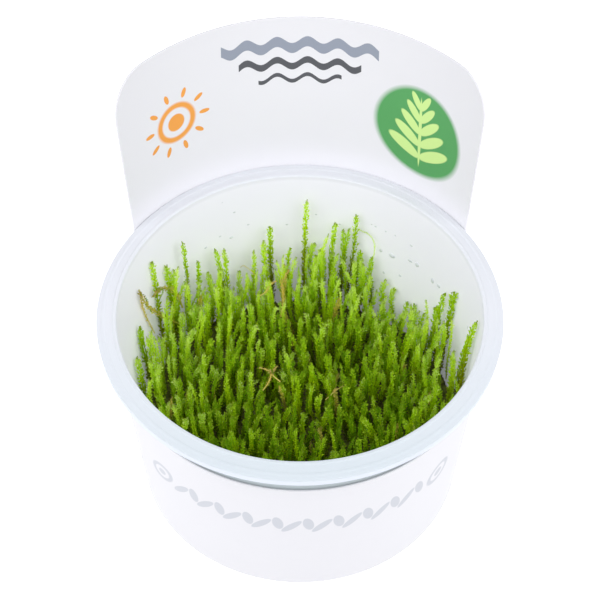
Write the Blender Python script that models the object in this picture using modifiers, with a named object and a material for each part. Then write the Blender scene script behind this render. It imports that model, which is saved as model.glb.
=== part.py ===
"""A tissue-culture cup of flame moss: a thin plastic cup with a snap rim, a printed card sleeve
that rises behind it as a sign panel, a disc of clear nutrient gel, and the moss standing on it.

Metres, +Z up. The origin is the centre of the cup's flat underside, and the sign panel stands
at the back, on the +Y side."""

import math
import random

import bmesh
import bpy

MM = 0.001

# The cup
RIM_RADIUS = 50.0 * MM
RIM_EDGE_HEIGHT = 57.2 * MM
OPENING_HEIGHT = 58.3 * MM
FOOT_RADIUS = 40.1 * MM
NECK_RADIUS = 45.8 * MM
NECK_HEIGHT = 57.0 * MM
WALL = 0.75 * MM
FLOOR = 1.0 * MM
RIM_THICKNESS = 0.9 * MM
SKIRT_DROP = 1.95 * MM
FOOT_ROUND = 2.0 * MM
EDGE_ROUND = 0.6 * MM
LIP_ROUND = 0.3 * MM
CUP_STEPS = 60
ROUND_STEPS = 3

# The card sleeve and its sign panel
FIT_GAP = 0.3 * MM
CARD = 0.45 * MM
SLEEVE_BOTTOM = 0.3 * MM
SLEEVE_TOP = 46.6 * MM
PANEL_TOP = 102.0 * MM
PANEL_HALF_ANGLE = 57.3
PANEL_NARROWING = 0.0934
PANEL_CORNER = 8.5 * MM
PANEL_FOOT_ROUND = 2.5 * MM
PANEL_LEAVES_CUP_BY = 58.0
PANEL_HUGS_CUP_FROM = 84.0
SLIT_HALF_ANGLE = 33.0
SLIT_BOTTOM = 54.4 * MM
SLIT_TOP = 56.95 * MM
SLIT_END_RISE = 0.45 * MM
PANEL_ROWS = (0.35, 0.7, 1.0)
SLEEVE_STEP = 7.0

# The nutrient gel
GEL_TOP = 12.0 * MM

# The moss
MOSS_BOTTOM = GEL_TOP + FIT_GAP
MOSS_GAP = 0.4 * MM
MOSS_CELLS = 18
MOSS_LEVEL = 30.0 * MM
SHOOT_RISE = 10.0 * MM
SHOOT_FOOT_INSET = 0.75 * MM
SHOOT_TIP_SIZE = 0.5
SHOOT_REACH = 0.6 * MM
CELL_JITTER = 0.22
HEIGHT_JITTER = 2.2 * MM
SEED = 7

# Where the carpet stands higher or lower: (x, y, rise, spread) in millimetres
SWELLS = (
    (-30, 24, 9, 9),
    (-40, 4, 5, 6),
    (2, 38, 5, 10),
    (14, 36, 5, 6),
    (27, 30, -6, 8),
    (39, 14, 8, 6),
    (-14, 36, -3, 5),
    (20, -18, 2, 12),
)

# The shoots that stand clear of the carpet: (x, y, tip height) in millimetres
TALL_SHOOTS = (
    (2, 41, 52),
    (-8, 40, 45),
    (-9, 37, 42),
    (-2, 40, 37),
    (-12, 38, 37),
    (-20, 34, 43),
    (-24, 33, 42),
    (-29, 29, 50),
    (-34, 24, 46),
    (-37, 20, 50),
    (-40, 9, 40),
    (9, 40, 45),
    (14, 39, 49),
    (19, 35, 37),
    (36, 18, 42),
    (38, 14, 45),
    (42, 1, 50),
)

CUP_COLOUR = (0.86, 0.89, 0.91, 1.0)
CARD_COLOUR = (0.90, 0.89, 0.93, 1.0)
GEL_COLOUR = (0.80, 0.78, 0.66, 1.0)
MOSS_COLOUR = (0.14, 0.33, 0.02, 1.0)


def clear_scene():
    for old in list(bpy.data.objects):
        bpy.data.objects.remove(old)


def plain_material(name, colour, roughness):
    """A Principled material with one colour and one roughness."""
    material = bpy.data.materials.new(name)
    material.use_nodes = True
    shader = material.node_tree.nodes["Principled BSDF"]
    shader.inputs["Base Color"].default_value = colour
    shader.inputs["Roughness"].default_value = roughness
    shader.inputs["Metallic"].default_value = 0.0
    return material


def add_object(name, mesh, collection, material):
    """Puts a mesh in the scene under its name, with its material."""
    thing = bpy.data.objects.new(name, mesh)
    collection.objects.link(thing)
    mesh.materials.append(material)
    return thing


def shade(thing, sharp_degrees):
    thing.data.shade_smooth()
    thing.data.set_sharp_from_angle(angle=math.radians(sharp_degrees))


def cup_outside(z):
    """Radius of the cup's outer wall at a height: a straight cone from the foot to the neck."""
    return FOOT_RADIUS + (NECK_RADIUS - FOOT_RADIUS) * z / NECK_HEIGHT


def cup_inside(z):
    return cup_outside(z) - WALL


def quarter_turn(centre_r, centre_z, radius, start, end, steps):
    """Points on an arc in the radius-height plane, angles in degrees from straight out."""
    points = []
    for i in range(steps + 1):
        angle = math.radians(start + (end - start) * i / steps)
        points.append((centre_r + radius * math.cos(angle), centre_z + radius * math.sin(angle)))
    return points


def turned(name, profile, collection, material):
    """A solid turned about Z from an outline of (radius, height) that starts and ends on the axis
    and runs down its outer side."""
    mesh = bpy.data.meshes.new(name)
    corners = [(radius, 0.0, height) for radius, height in profile]
    sides = [(i, i + 1) for i in range(len(corners) - 1)]
    mesh.from_pydata(corners, sides, [])
    thing = add_object(name, mesh, collection, material)
    screw = thing.modifiers.new("turn", "SCREW")
    screw.steps = CUP_STEPS
    screw.render_steps = CUP_STEPS
    screw.use_merge_vertices = True
    screw.merge_threshold = 0.00001
    screw.use_smooth_shade = True
    return thing


def cup_profile():
    """From the middle of the floor up the inside, over the rim, down the skirt and the outside,
    and back to the middle of the underside."""
    inner_round = FOOT_ROUND - WALL
    ledge_fall = (OPENING_HEIGHT - RIM_EDGE_HEIGHT) / (RIM_RADIUS - cup_inside(NECK_HEIGHT))
    skirt_inside = RIM_RADIUS - RIM_THICKNESS
    outline = [(0.0, FLOOR)]
    outline += quarter_turn(
        cup_inside(FLOOR + inner_round) - inner_round,
        FLOOR + inner_round,
        inner_round,
        -90,
        0,
        ROUND_STEPS,
    )
    outline += [
        (cup_inside(NECK_HEIGHT), OPENING_HEIGHT - LIP_ROUND),
        (cup_inside(NECK_HEIGHT) + LIP_ROUND, OPENING_HEIGHT),
        (RIM_RADIUS - EDGE_ROUND, RIM_EDGE_HEIGHT + EDGE_ROUND * ledge_fall),
        (RIM_RADIUS, RIM_EDGE_HEIGHT - EDGE_ROUND),
        (RIM_RADIUS, RIM_EDGE_HEIGHT - SKIRT_DROP),
        (skirt_inside, RIM_EDGE_HEIGHT - SKIRT_DROP),
        (skirt_inside, RIM_EDGE_HEIGHT - RIM_THICKNESS + RIM_THICKNESS * ledge_fall),
        (NECK_RADIUS, NECK_HEIGHT),
    ]
    outline += quarter_turn(
        cup_outside(FOOT_ROUND) - FOOT_ROUND, FOOT_ROUND, FOOT_ROUND, 0, -90, ROUND_STEPS
    )
    outline.append((0.0, 0.0))
    return outline


def gel_profile():
    """A disc with a round lower corner, which fills the foot of the cup up to GEL_TOP."""
    corner = FOOT_ROUND
    bottom = FLOOR + FIT_GAP
    outline = [(0.0, GEL_TOP), (cup_inside(GEL_TOP) - FIT_GAP, GEL_TOP)]
    outline += quarter_turn(
        cup_inside(bottom + corner) - FIT_GAP - corner,
        bottom + corner,
        corner,
        0,
        -90,
        ROUND_STEPS,
    )
    outline.append((0.0, bottom))
    return outline


def smooth_step(x):
    x = min(1.0, max(0.0, x))
    return x * x * (3.0 - 2.0 * x)


def card_radius(angle, z):
    """Inner radius of the card at an angle from the back and a height. At the front and sides it
    hugs the cup. At the back it runs straight from the foot to just outside the rim, and on up."""
    hugging = cup_outside(z) + FIT_GAP
    foot = cup_outside(0.0) + FIT_GAP
    skirt_bottom = RIM_EDGE_HEIGHT - SKIRT_DROP
    lean = (RIM_RADIUS + FIT_GAP - foot) / skirt_bottom
    standing = foot + lean * z
    away = (abs(angle) - PANEL_LEAVES_CUP_BY) / (PANEL_HUGS_CUP_FROM - PANEL_LEAVES_CUP_BY)
    share = smooth_step(away)
    return standing + (hugging - standing) * share


def card_point(column, z):
    """A point of the card. Above the sleeve's edge the columns draw together a little, so that
    the panel's sides stand nearly parallel."""
    above = max(0.0, z - SLEEVE_TOP) / (PANEL_TOP - SLEEVE_TOP)
    angle = column * (1.0 - PANEL_NARROWING * above) if abs(column) <= PANEL_HALF_ANGLE else column
    radius = card_radius(angle, z)
    turn = math.radians(angle)
    return (radius * math.sin(turn), radius * math.cos(turn), z)


def panel_columns():
    """Columns of the panel as (angle, top height), with the top corners as quarter circles."""
    columns = {}
    for i in range(ROUND_STEPS + 1):
        turn = math.radians(90.0 * i / ROUND_STEPS)
        z = PANEL_TOP - PANEL_CORNER * (1.0 - math.cos(turn))
        inset = PANEL_CORNER * (1.0 - math.sin(turn)) / card_radius(0.0, z)
        columns[PANEL_HALF_ANGLE - math.degrees(inset) / (1.0 - PANEL_NARROWING)] = z
    inner = min(columns)
    columns[SLIT_HALF_ANGLE] = PANEL_TOP
    for step in range(math.ceil(SLIT_HALF_ANGLE / SLEEVE_STEP)):
        columns[SLEEVE_STEP * step] = PANEL_TOP
    columns[(SLIT_HALF_ANGLE + inner) / 2] = PANEL_TOP
    half = sorted(columns.items())
    return [(-angle, top) for angle, top in reversed(half[1:])] + half


def side_columns():
    """Columns from the panel's right edge round the front to its left edge, as (angle, top
    height). A small hollow curve joins each edge to the sleeve's level top."""
    rising = []
    reach = math.degrees(PANEL_FOOT_ROUND / card_radius(PANEL_HALF_ANGLE, SLEEVE_TOP))
    for i in range(1, ROUND_STEPS + 1):
        turn = math.radians(90.0 * i / ROUND_STEPS)
        angle = PANEL_HALF_ANGLE + reach * (1.0 - math.cos(turn))
        rising.append((angle, SLEEVE_TOP + PANEL_FOOT_ROUND * (1.0 - math.sin(turn))))
    start = rising[-1][0]
    count = round((180.0 - start) / SLEEVE_STEP)
    level = [(start + (180.0 - start) * i / count, SLEEVE_TOP) for i in range(1, count + 1)]
    half = rising + level
    return half + [(360.0 - angle, top) for angle, top in reversed(half[:-1])]


def card_sheet():
    """The card as one open sheet: a wall all round, and rows of the panel above it at the back,
    with the slit's faces left out."""
    sheet = bmesh.new()
    panel = panel_columns()
    sides = side_columns()
    low = [sheet.verts.new(card_point(wrapped(a), SLEEVE_BOTTOM)) for a, _ in panel + sides]
    foot_top = SLEEVE_TOP + PANEL_FOOT_ROUND
    high = [sheet.verts.new(card_point(a, foot_top)) for a, _ in panel]
    high += [sheet.verts.new(card_point(wrapped(a), top)) for a, top in sides]
    count = len(low)
    for i in range(count):
        j = (i + 1) % count
        sheet.faces.new((low[j], low[i], high[i], high[j]))

    rows = [high[: len(panel)]]
    for slit_edge, end_rise in ((SLIT_BOTTOM, 0.0), (SLIT_TOP, SLIT_END_RISE)):
        row = []
        for angle, _ in panel:
            rise = end_rise * min(1.0, (angle / SLIT_HALF_ANGLE) ** 2)
            row.append(sheet.verts.new(card_point(angle, slit_edge + rise)))
        rows.append(row)
    for share in PANEL_ROWS:
        row = []
        for angle, top in panel:
            row.append(sheet.verts.new(card_point(angle, SLIT_TOP + (top - SLIT_TOP) * share)))
        rows.append(row)
    for level in range(len(rows) - 1):
        for i in range(len(panel) - 1):
            middle = (panel[i][0] + panel[i + 1][0]) / 2
            if level == 1 and abs(middle) < SLIT_HALF_ANGLE:
                continue
            below, above = rows[level], rows[level + 1]
            sheet.faces.new((below[i + 1], below[i], above[i], above[i + 1]))
    return sheet


def wrapped(angle):
    """The same angle, between -180 and 180 degrees."""
    return angle - 360.0 if angle > 180.0 else angle


def build_sleeve(collection, material):
    sheet = card_sheet()
    mesh = bpy.data.meshes.new("card_sleeve")
    sheet.to_mesh(mesh)
    sheet.free()
    sleeve = add_object("card_sleeve", mesh, collection, material)
    board = sleeve.modifiers.new("board", "SOLIDIFY")
    board.thickness = CARD
    board.offset = 1.0
    board.use_even_offset = True
    shade(sleeve, 30)
    return sleeve


def moss_level(x, y):
    """Height of the carpet's tips at a place: a level plus each swell's bell-shaped rise."""
    level = MOSS_LEVEL
    for swell_x, swell_y, rise, spread in SWELLS:
        away = ((x / MM - swell_x) ** 2 + (y / MM - swell_y) ** 2) / (2.0 * spread**2)
        level += rise * MM * math.exp(-away)
    return level


def on_disc(u, v):
    """Maps the square from -1 to 1 onto a disc of radius 1, edges to rim."""
    return u * math.sqrt(1.0 - v * v / 2.0), v * math.sqrt(1.0 - u * u / 2.0)


def moss_bed(draw):
    """The closed body under the shoots: a grid of cells mapped onto the cup's round inside, with
    its side following the cup's cone and a flat underside on the gel."""
    bed = bmesh.new()
    bmesh.ops.create_grid(bed, x_segments=MOSS_CELLS, y_segments=MOSS_CELLS, size=1.0)
    cell = 2.0 / MOSS_CELLS
    for vert in bed.verts:
        u, v = vert.co.x, vert.co.y
        if not vert.is_boundary:
            u += cell * CELL_JITTER * draw.uniform(-1.0, 1.0)
            v += cell * CELL_JITTER * draw.uniform(-1.0, 1.0)
        x, y = on_disc(u, v)
        radius = cup_inside(MOSS_LEVEL - SHOOT_RISE) - MOSS_GAP
        top = moss_level(x * radius, y * radius) - SHOOT_RISE
        radius = cup_inside(top) - MOSS_GAP
        vert.co = (x * radius, y * radius, top)
    cells = bed.faces[:]
    rim = [edge for edge in bed.edges if edge.is_boundary]
    lowered = bmesh.ops.extrude_edge_only(bed, edges=rim)["geom"]
    for vert in (item for item in lowered if isinstance(item, bmesh.types.BMVert)):
        shrink = (cup_inside(MOSS_BOTTOM) - MOSS_GAP) / vert.co.xy.length
        vert.co = (vert.co.x * shrink, vert.co.y * shrink, MOSS_BOTTOM)
    low_edges = [item for item in lowered if isinstance(item, bmesh.types.BMEdge)]
    bmesh.ops.contextual_create(bed, geom=[edge for edge in low_edges if edge.is_boundary])
    return bed, cells


def tall_shoot_of_cell(cells):
    """For each tall shoot, the cell whose middle is nearest its place."""
    chosen = {}
    for x, y, tip in TALL_SHOOTS:
        free = [cell for cell in cells if cell not in chosen]
        nearest = min(
            free,
            key=lambda cell: (cell.calc_center_median().x - x * MM) ** 2
            + (cell.calc_center_median().y - y * MM) ** 2,
        )
        chosen[nearest] = (x * MM, y * MM, tip * MM)
    return chosen


def raise_shoots(bed, cells, draw):
    """Each cell of the bed grows one four-sided shoot that narrows to its tip."""
    tall = tall_shoot_of_cell(cells)
    bmesh.ops.inset_individual(
        bed, faces=cells, thickness=SHOOT_FOOT_INSET, use_even_offset=True
    )
    for cell in cells:
        middle = cell.calc_center_median()
        if cell in tall:
            x, y, tip = tall[cell]
            x = middle.x + min(SHOOT_REACH, max(-SHOOT_REACH, x - middle.x))
            y = middle.y + min(SHOOT_REACH, max(-SHOOT_REACH, y - middle.y))
        else:
            x = middle.x
            y = middle.y
            tip = moss_level(x, y) + HEIGHT_JITTER * draw.uniform(-1.0, 1.0)
        grown = bmesh.ops.extrude_discrete_faces(bed, faces=[cell])["faces"][0]
        for vert in grown.verts:
            vert.co.x = x + (vert.co.x - middle.x) * SHOOT_TIP_SIZE
            vert.co.y = y + (vert.co.y - middle.y) * SHOOT_TIP_SIZE
            vert.co.z = tip


def build_moss(collection, material):
    draw = random.Random(SEED)
    bed, cells = moss_bed(draw)
    raise_shoots(bed, cells, draw)
    bmesh.ops.recalc_face_normals(bed, faces=bed.faces[:])
    mesh = bpy.data.meshes.new("moss")
    bed.to_mesh(mesh)
    bed.free()
    moss = add_object("moss", mesh, collection, material)
    shade(moss, 20)
    return moss


def main():
    clear_scene()
    collection = bpy.data.collections.new("flame moss cup")
    bpy.context.scene.collection.children.link(collection)
    cup_plastic = plain_material("frosted polypropylene", CUP_COLOUR, 0.35)
    card = plain_material("coated white card", CARD_COLOUR, 0.45)
    gel = plain_material("nutrient gel", GEL_COLOUR, 0.15)
    leaf = plain_material("moss leaf", MOSS_COLOUR, 0.5)
    turned("cup", cup_profile(), collection, cup_plastic)
    turned("nutrient_gel", gel_profile(), collection, gel)
    build_sleeve(collection, card)
    build_moss(collection, leaf)


main()
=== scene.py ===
# %% [markdown]
# # A tissue-culture cup of flame moss
#
# The object is a thin milky cup with a wide snap rim, a white card that wraps the cup and stands
# up behind it as a sign, a disc of gel, and about a thousand leafy shoots of moss. The packed
# solids give every piece its place and size. This lesson dresses them one piece at a time.

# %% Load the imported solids
import math

import bmesh
import bpy
import numpy as np
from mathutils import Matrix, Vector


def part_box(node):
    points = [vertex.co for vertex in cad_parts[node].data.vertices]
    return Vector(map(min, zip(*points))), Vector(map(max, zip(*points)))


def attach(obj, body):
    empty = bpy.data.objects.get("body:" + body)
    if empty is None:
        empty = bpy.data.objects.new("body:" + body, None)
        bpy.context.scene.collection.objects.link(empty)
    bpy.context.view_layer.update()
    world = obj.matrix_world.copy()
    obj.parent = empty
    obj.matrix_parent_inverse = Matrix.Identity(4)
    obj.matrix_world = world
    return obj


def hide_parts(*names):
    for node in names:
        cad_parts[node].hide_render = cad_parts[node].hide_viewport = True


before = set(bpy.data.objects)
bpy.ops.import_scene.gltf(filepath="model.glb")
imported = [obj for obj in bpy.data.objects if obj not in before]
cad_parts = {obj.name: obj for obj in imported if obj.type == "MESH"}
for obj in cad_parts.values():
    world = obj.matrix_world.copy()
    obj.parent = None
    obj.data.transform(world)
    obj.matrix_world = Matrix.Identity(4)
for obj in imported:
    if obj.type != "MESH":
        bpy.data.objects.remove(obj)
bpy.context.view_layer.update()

MM = 0.001
print("packed solids:", sorted(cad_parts))

# %% [markdown]
# ## The camera
#
# The photograph was taken from about 50 degrees above the table with a long lens. The rim's oval
# and the slant of the sign only match from that same place, so a pinhole camera was fitted to the
# rim and the foot of the cup. Lengths are in millimetres here, as in the whole lesson.

# %% The camera
CAMERA_DISTANCE = 600.0
CAMERA_ELEVATION = math.radians(50.38)
CAMERA_AIM_HEIGHT = 62.8
FOCAL_LENGTH_PX = 2461.5
PHOTO_WIDTH_PX = 600
SENSOR_WIDTH = 36.0

camera = bpy.data.objects.new("camera", bpy.data.cameras.new("camera"))
bpy.context.scene.collection.objects.link(camera)
camera.data.sensor_width = SENSOR_WIDTH
camera.data.lens = SENSOR_WIDTH * FOCAL_LENGTH_PX / PHOTO_WIDTH_PX
camera.location = (
    0.0,
    -CAMERA_DISTANCE * math.cos(CAMERA_ELEVATION) * MM,
    (CAMERA_AIM_HEIGHT + CAMERA_DISTANCE * math.sin(CAMERA_ELEVATION)) * MM,
)
camera.rotation_euler = (math.pi / 2 - CAMERA_ELEVATION, 0.0, 0.0)
bpy.context.scene.camera = camera
print("camera at", tuple(round(c, 4) for c in camera.location))

# %% [markdown]
# ## Colours and nodes
#
# Colours are written as one picks them on a screen, as sRGB hex values, but a shader counts in
# linear light. A material is a small web of nodes, so one function adds a node, sets its options
# and plain values, and links what comes from other nodes.

# %% Colours and nodes
def linear(hex_colour, alpha=1.0):
    """An sRGB hex colour as linear numbers: each channel c from 0 to 1 becomes
    ((c + 0.055) / 1.055) to the power 2.4, or c / 12.92 where it is under 0.04045."""
    channels = [int(hex_colour[i : i + 2], 16) / 255 for i in (1, 3, 5)]
    turned = [c / 12.92 if c <= 0.04045 else ((c + 0.055) / 1.055) ** 2.4 for c in channels]
    return (*turned, alpha)


def add(tree, kind, inputs=None, output=0, **settings):
    """Adds one node and returns one of its outputs. settings are its own properties, and inputs
    gives each socket, by name or number, a plain value or another node's output."""
    node = tree.nodes.new("ShaderNode" + kind)
    for name, value in settings.items():
        setattr(node, name, value)
    for name, value in (inputs or {}).items():
        if isinstance(value, bpy.types.NodeSocket):
            tree.links.new(value, node.inputs[name])
        else:
            node.inputs[name].default_value = value
    return node.outputs[output] if node.outputs else None


# a Mix node set to colours: it takes them at its sockets 6 and 7 and gives one at its output 2
OF_COLOURS = {"output": 2, "data_type": "RGBA"}


def empty_material(name):
    """A node material with nothing in it."""
    material = bpy.data.materials.new(name)
    material.use_nodes = True
    material.node_tree.nodes.clear()
    return material, material.node_tree


# %% [markdown]
# ## Light and floor
#
# Such a cup is photographed on white, in soft light from all round, and a wide lit table sends
# much of that light back up. Four big square lamps shine from the front and the sides, and a
# white sky fills the shadows. The floor is plain matt paper for the eye and for gloss only:
# diffuse and shadow rays pass through it to the lower half of the sky, which is brighter and
# stands for the whole lit table. So the card is as bright at its foot as higher up.

# %% The sky
SKY_STRENGTH = 0.6
BOUNCE_STRENGTH = 1.3
HORIZON_BLUR = 0.15
DAYLIGHT = "#fafbff"

world = bpy.data.worlds.new("soft white sky")
world.use_nodes = True
sky = world.node_tree.nodes["Background"]
sky.inputs["Color"].default_value = linear(DAYLIGHT)
look = add(world.node_tree, "TexCoord", output="Generated")
up = add(world.node_tree, "SeparateXYZ", {0: look}, output="Z")
horizon = {"From Min": -HORIZON_BLUR, "From Max": HORIZON_BLUR}
strengths = {"To Min": BOUNCE_STRENGTH, "To Max": SKY_STRENGTH}
brightness = add(world.node_tree, "MapRange", {"Value": up, **horizon, **strengths})
world.node_tree.links.new(brightness, sky.inputs["Strength"])
bpy.context.scene.world = world
bpy.context.scene.view_settings.view_transform = "Standard"
print("sky", SKY_STRENGTH, "above the horizon and", BOUNCE_STRENGTH, "below it")

# %% The lamps
LAMP_SIZE = 500.0
LAMPS = {
    "left front lamp": ((-380, -520, 700), 2.3),
    "right front lamp": ((380, -520, 700), 2.3),
    "left side lamp": ((-640, -240, 650), 3.1),
    "right side lamp": ((640, -240, 650), 3.0),
}


def soft_lamp(name, place, power):
    """A square lamp at a place in millimetres that faces the middle of the cup's foot."""
    lamp = bpy.data.objects.new(name, bpy.data.lights.new(name, "AREA"))
    lamp.data.size = LAMP_SIZE * MM
    lamp.data.energy = power
    lamp.data.color = linear(DAYLIGHT)[:3]
    lamp.location = [c * MM for c in place]
    towards = -lamp.location
    lamp.rotation_euler = towards.to_track_quat("-Z", "Y").to_euler()
    bpy.context.scene.collection.objects.link(lamp)


for lamp_name, (lamp_place, lamp_power) in LAMPS.items():
    soft_lamp(lamp_name, lamp_place, lamp_power)
print(len(LAMPS), "lamps of", LAMP_SIZE, "mm")

# %% The floor
FLOOR_HALF = 1500.0
FLOOR_GLOW = 0.45

floor_mesh = bpy.data.meshes.new("floor")
floor_corners = FLOOR_HALF * MM * np.array([(-1, -1, 0), (1, -1, 0), (1, 1, 0), (-1, 1, 0)])
floor_mesh.from_pydata(floor_corners.tolist(), [], [(0, 1, 2, 3)])
floor = bpy.data.objects.new("floor", floor_mesh)
bpy.context.scene.collection.objects.link(floor)
floor.visible_diffuse = False
floor.visible_shadow = False
floor_paint, tree = empty_material("matt white paper")
paper = add(
    tree,
    "BsdfPrincipled",
    {
        "Base Color": linear("#fbfbfb"),
        "Roughness": 0.9,
        "Specular IOR Level": 0.1,
        "Emission Color": linear("#ffffff"),
        "Emission Strength": FLOOR_GLOW,
    },
)
add(tree, "OutputMaterial", {"Surface": paper})
floor_mesh.materials.append(floor_paint)
print("floor half width", FLOOR_HALF, "mm")

# %% [markdown]
# ## Tools for making pieces
#
# Every new piece is an array of points in millimetres and an array of faces. One function turns
# them into a mesh, one numbers the quads of a grid, and one turns an outline about the axis.

# %% Meshes from arrays
def make_piece(name, points, faces, materials, replaces, smooth=True, uv=None):
    """Makes a mesh object from points in millimetres and faces that all have the same number of
    corners. uv is a map's name and its pair for each point."""
    mesh = bpy.data.meshes.new(name)
    mesh.vertices.add(len(points))
    mesh.vertices.foreach_set("co", (points * MM).astype(np.float32).ravel())
    mesh.loops.add(faces.size)
    mesh.loops.foreach_set("vertex_index", faces.astype(np.int32).ravel())
    mesh.polygons.add(len(faces))
    starts = np.arange(0, faces.size, faces.shape[1], dtype=np.int32)
    mesh.polygons.foreach_set("loop_start", starts)
    mesh.polygons.foreach_set("use_smooth", np.full(len(faces), smooth))
    mesh.update(calc_edges=True)
    if uv is not None:
        map_name, pairs = uv
        layer = mesh.uv_layers.new(name=map_name)
        layer.data.foreach_set("uv", pairs[faces.ravel()].astype(np.float32).ravel())
    for material in materials:
        mesh.materials.append(material)
    piece = bpy.data.objects.new(name, mesh)
    bpy.context.scene.collection.objects.link(piece)
    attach(piece, "root")
    if replaces:
        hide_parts(replaces)
    print(name, len(points), "points", len(faces), "faces")
    return piece


def grid_faces(rows, columns, wrap=False):
    """Quads between the points of a grid that is numbered row by row. With wrap, the last column
    joins the first."""
    r, c = np.meshgrid(np.arange(rows - 1), np.arange(columns - (not wrap)), indexing="ij")
    here = (r * columns + c).ravel()
    beside = (r * columns + (c + 1) % columns).ravel()
    return np.stack([here, beside, beside + columns, here + columns], axis=1)


SAME_POINT = 0.002


def merge_points(piece, closed=True):
    """Joins points that lie together, so that poles and seams are closed. The faces of a closed
    body then point outwards, and those of an open sheet stay as they are."""
    body = bmesh.new()
    body.from_mesh(piece.data)
    bmesh.ops.remove_doubles(body, verts=body.verts[:], dist=SAME_POINT * MM)
    if closed:
        bmesh.ops.recalc_face_normals(body, faces=body.faces[:])
    body.to_mesh(piece.data)
    body.free()


NEARLY_STRAIGHT = math.radians(89)


def rounded_outline(corners, steps=6):
    """An outline of (radius, height, rounding) corners. Each corner with a rounding becomes an arc
    that meets both its sides: it starts rounding / tan(half the corner's angle) along each. A
    corner that is nearly straight stays as it is."""
    corners = np.array(corners, float)
    outline = [corners[0, :2]]
    for before, here, after in zip(corners[:-2], corners[1:-1], corners[2:]):
        a = (before - here)[:2] / np.linalg.norm((before - here)[:2])
        b = (after - here)[:2] / np.linalg.norm((after - here)[:2])
        half = math.acos(np.clip(a @ b, -1, 1)) / 2
        if here[2] == 0 or half > NEARLY_STRAIGHT:
            outline.append(here[:2])
            continue
        reach = here[2] / math.tan(half)
        middle = here[:2] + (a + b) / np.linalg.norm(a + b) * here[2] / math.sin(half)
        start, end = here[:2] + a * reach - middle, here[:2] + b * reach - middle
        first = math.atan2(start[1], start[0])
        turn = math.remainder(math.atan2(end[1], end[0]) - first, math.tau)
        angles = first + turn * np.linspace(0, 1, steps + 1)
        outline += list(middle + here[2] * np.stack([np.cos(angles), np.sin(angles)], axis=1))
    outline.append(corners[-1, :2])
    return np.array(outline)


def turn_outline(outline, steps):
    """Each outline point (radius, height) goes round the axis: x = radius times the cosine of the
    angle, y = radius times its sine, z = height."""
    angle = np.linspace(0, math.tau, steps, endpoint=False)
    radius, height = outline[:, :1], outline[:, 1:]
    z = np.repeat(height, steps, axis=1)
    points = np.stack([radius * np.cos(angle), radius * np.sin(angle), z], axis=-1)
    return points.reshape(-1, 3), grid_faces(len(outline), steps, wrap=True)


# %% [markdown]
# ## The cup
#
# The cup is one thin moulding. Its outline is drawn once, from the middle of the floor up the
# inside, over the sloping ledge of the rim, down the skirt and the outside, and turned about the
# axis. The ledge carries a fine raised ring, its inner edge is a small round bead, and the skirt
# leans in a little, as a moulding does that has to leave its mould.

# %% The cup's sizes
cup_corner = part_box("cup")[1]
RIM_RADIUS = cup_corner.x / MM
OPENING_HEIGHT = cup_corner.z / MM
RIM_EDGE_HEIGHT = OPENING_HEIGHT - 1.1
SKIRT_BOTTOM = RIM_EDGE_HEIGHT - 2.3
SKIRT_LEAN = 0.25
FOOT_RADIUS = 40.1
NECK_RADIUS = 45.8
NECK_HEIGHT = 57.0
WALL = 0.75
CUP_FLOOR = 1.0
CUP_STEPS = 288


def cup_outside(z):
    """Outer radius of the wall: a straight cone from the foot to the neck."""
    return FOOT_RADIUS + (NECK_RADIUS - FOOT_RADIUS) * z / NECK_HEIGHT


def cup_inside(z):
    """Inner radius of the wall: the outer one less the wall's thickness."""
    return cup_outside(z) - WALL


# %% The cup's outline
mouth = cup_inside(NECK_HEIGHT)
CUP_CORNERS = [
    (0.0, CUP_FLOOR, 0),
    (cup_inside(CUP_FLOOR), CUP_FLOOR, 1.3),
    (mouth - 0.05, OPENING_HEIGHT - 0.7, 0.5),
    (mouth - 0.02, OPENING_HEIGHT, 0.35),
    (mouth + 0.85, OPENING_HEIGHT, 0.3),
    (mouth + 1.1, OPENING_HEIGHT - 0.28, 0.2),
    (RIM_RADIUS - 2.05, RIM_EDGE_HEIGHT + 0.42, 0.15),
    (RIM_RADIUS - 1.75, RIM_EDGE_HEIGHT + 0.45, 0.12),
    (RIM_RADIUS - 1.35, RIM_EDGE_HEIGHT + 0.37, 0.12),
    (RIM_RADIUS - 1.05, RIM_EDGE_HEIGHT + 0.24, 0.15),
    (RIM_RADIUS, RIM_EDGE_HEIGHT + 0.02, 0.2),
    (RIM_RADIUS - SKIRT_LEAN, SKIRT_BOTTOM, 0.12),
    (RIM_RADIUS - SKIRT_LEAN - 0.7, SKIRT_BOTTOM, 0.12),
    (RIM_RADIUS - 0.9, RIM_EDGE_HEIGHT - 0.75, 0.3),
    (NECK_RADIUS, NECK_HEIGHT - 0.1, 0.3),
    (FOOT_RADIUS, 0.0, 2.0),
    (31.2, 0.0, 0.1),
    (30.8, 0.3, 0.1),
    (29.8, 0.3, 0.1),
    (29.4, 0.0, 0.1),
    (0.0, 0.0, 0),
]
cup_outline = rounded_outline(CUP_CORNERS)
print("cup outline", len(cup_outline), "points, mouth radius", round(mouth, 2))
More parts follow.
